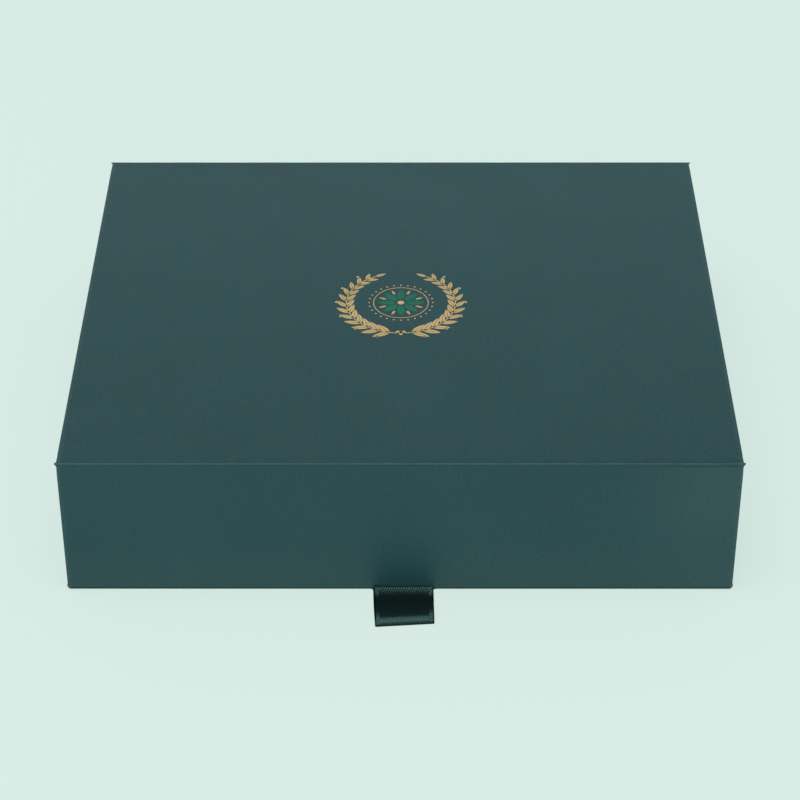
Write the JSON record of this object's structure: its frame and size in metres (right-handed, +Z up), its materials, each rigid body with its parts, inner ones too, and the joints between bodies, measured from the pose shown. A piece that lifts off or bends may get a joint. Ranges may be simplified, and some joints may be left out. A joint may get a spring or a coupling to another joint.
{
  "type": "magnetic gift box",
  "caption": "Rigid book-style gift box: a glued tray in a wrapped case whose lid folds at the back, with a front flap held by hidden magnets and a ribbon pull tab.",
  "frame": {"origin": "middle of the closed case's outline, without the ribbon and the folds' ears, on the surface that it stands on", "axes": "+X to the right as seen from the flap, +Y from the flap to the spine, +Z up out of the lid"},
  "size_m": [0.2816, 0.2687, 0.0661],
  "materials": {
    "case_paper": "soft-touch matt, dark green",
    "liner_paper": "matt, dark green",
    "greyboard": "raw grey board with cut edges",
    "stay_tape": "gummed kraft tape",
    "pocket_tape": "thin white paper tape",
    "magnet_plating": "nickel plate",
    "satin_ribbon": "satin weave, dark green"
  },
  "bodies": {
    "tray": {"base_board": "greyboard", "spine_board": "greyboard", "base_wrap": "case_paper", "spine_wrap": "case_paper", "base_fold": "case_paper", "back_hinge": "case_paper", "back_hinge_liner": "liner_paper", "tray_floor": "greyboard", "tray_front_wall": "greyboard", "tray_back_wall": "greyboard", "tray_left_wall": "greyboard", "tray_right_wall": "greyboard", "tray_corner_stays": "stay_tape", "tray_wrap": "liner_paper", "tray_floor_liner": "liner_paper", "tray_magnets": "magnet_plating", "tray_magnet_tapes": "pocket_tape"},
    "lid": {"lid_board": "greyboard", "lid_wrap": "case_paper", "lid_liner": "liner_paper", "front_hinge": "case_paper", "front_hinge_liner": "liner_paper"},
    "flap": {"flap_board": "greyboard", "flap_wrap": "case_paper", "flap_liner": "liner_paper", "flap_magnets": "magnet_plating", "flap_magnet_tapes": "pocket_tape", "pull_ribbon_tails": "satin_ribbon"},
    "pull_tab": {"pull_ribbon_loop": "satin_ribbon"}
  },
  "joints": [
    {"name": "lid_hinge", "type": "hinge", "parent": "tray", "child": "lid", "pos_m": [0, 0.12178, 0.06573], "axis": [-1, 0, 0], "range_deg": [0, 178], "deforming": ["back_hinge", "back_hinge_liner"]},
    {"name": "flap_hinge", "type": "hinge", "parent": "lid", "child": "flap", "pos_m": [0, -0.12178, 0.06573], "axis": [-1, 0, 0], "range_deg": [0, 120], "deforming": ["front_hinge", "front_hinge_liner"]},
    {"name": "pull_tab_hinge", "type": "hinge", "parent": "flap", "child": "pull_tab", "pos_m": [0, -0.1226, 0.00055], "axis": [-1, 0, 0], "range_deg": [0, 70]}
  ]
}
